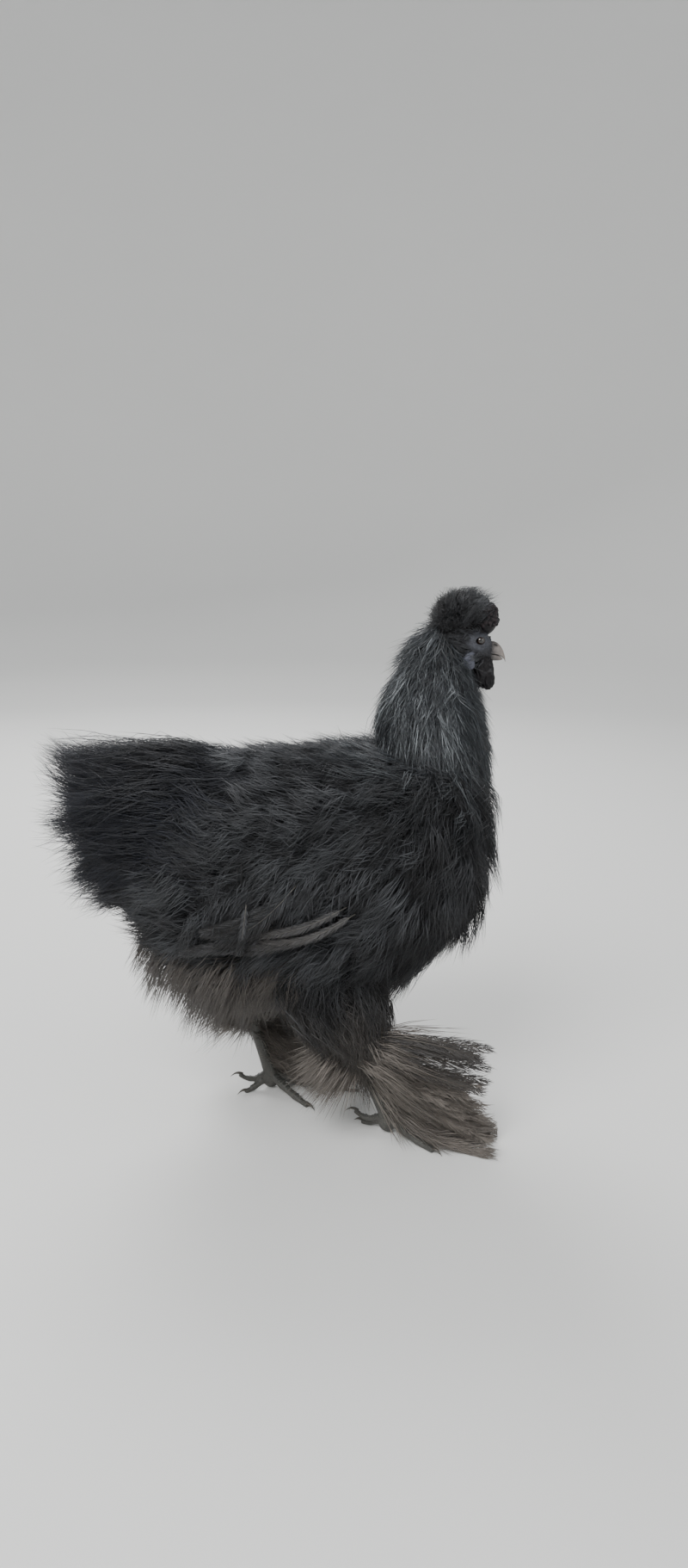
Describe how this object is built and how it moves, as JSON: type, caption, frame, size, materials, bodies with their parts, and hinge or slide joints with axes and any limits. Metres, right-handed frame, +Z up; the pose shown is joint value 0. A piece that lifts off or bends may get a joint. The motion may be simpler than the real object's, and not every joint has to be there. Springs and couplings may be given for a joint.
{
  "type": "silkie chicken model",
  "caption": "Still life-size silkie cockerel in mid-stride, with crest, long hackle, fluffy tail and feathered feet.",
  "frame": {"origin": "on the floor under the middle of the bird's overall box", "axes": "+X the way the bird faces, +Y to its left, +Z up from the floor"},
  "size_m": [0.3306, 0.1765, 0.3988],
  "materials": {
    "black_plumage": "black silky plumage, soft and matt, with a faint blue sheen",
    "grey_hackle": "long grey-black hackle feathers with silver streaks",
    "brown_fluff": "dusty brown-black fluff",
    "dark_skin": "dark mulberry bare skin, fine grained",
    "beak_horn": "grey horn, half glossy",
    "blue_lobe": "pale blue-grey bare skin",
    "leg_scales": "slate-dark scaled skin",
    "eye_dark": "wet dark eye"
  },
  "bodies": {
    "root": {"torso": "black_plumage", "tail": "black_plumage", "neck": "grey_hackle", "head": "dark_skin", "beak_upper": "beak_horn", "beak_lower": "beak_horn", "comb": "dark_skin", "crest": "black_plumage", "eye_right": "eye_dark", "eye_left": "eye_dark", "earlobe_right": "blue_lobe", "earlobe_left": "blue_lobe", "wattle_right": "dark_skin", "wattle_left": "dark_skin", "wing_right": "black_plumage", "wing_left": "black_plumage", "thigh_right": "brown_fluff", "thigh_left": "brown_fluff", "shank_right": "leg_scales", "foot_right": "leg_scales", "shank_left": "leg_scales", "foot_left": "leg_scales"}
  },
  "joints": []
}
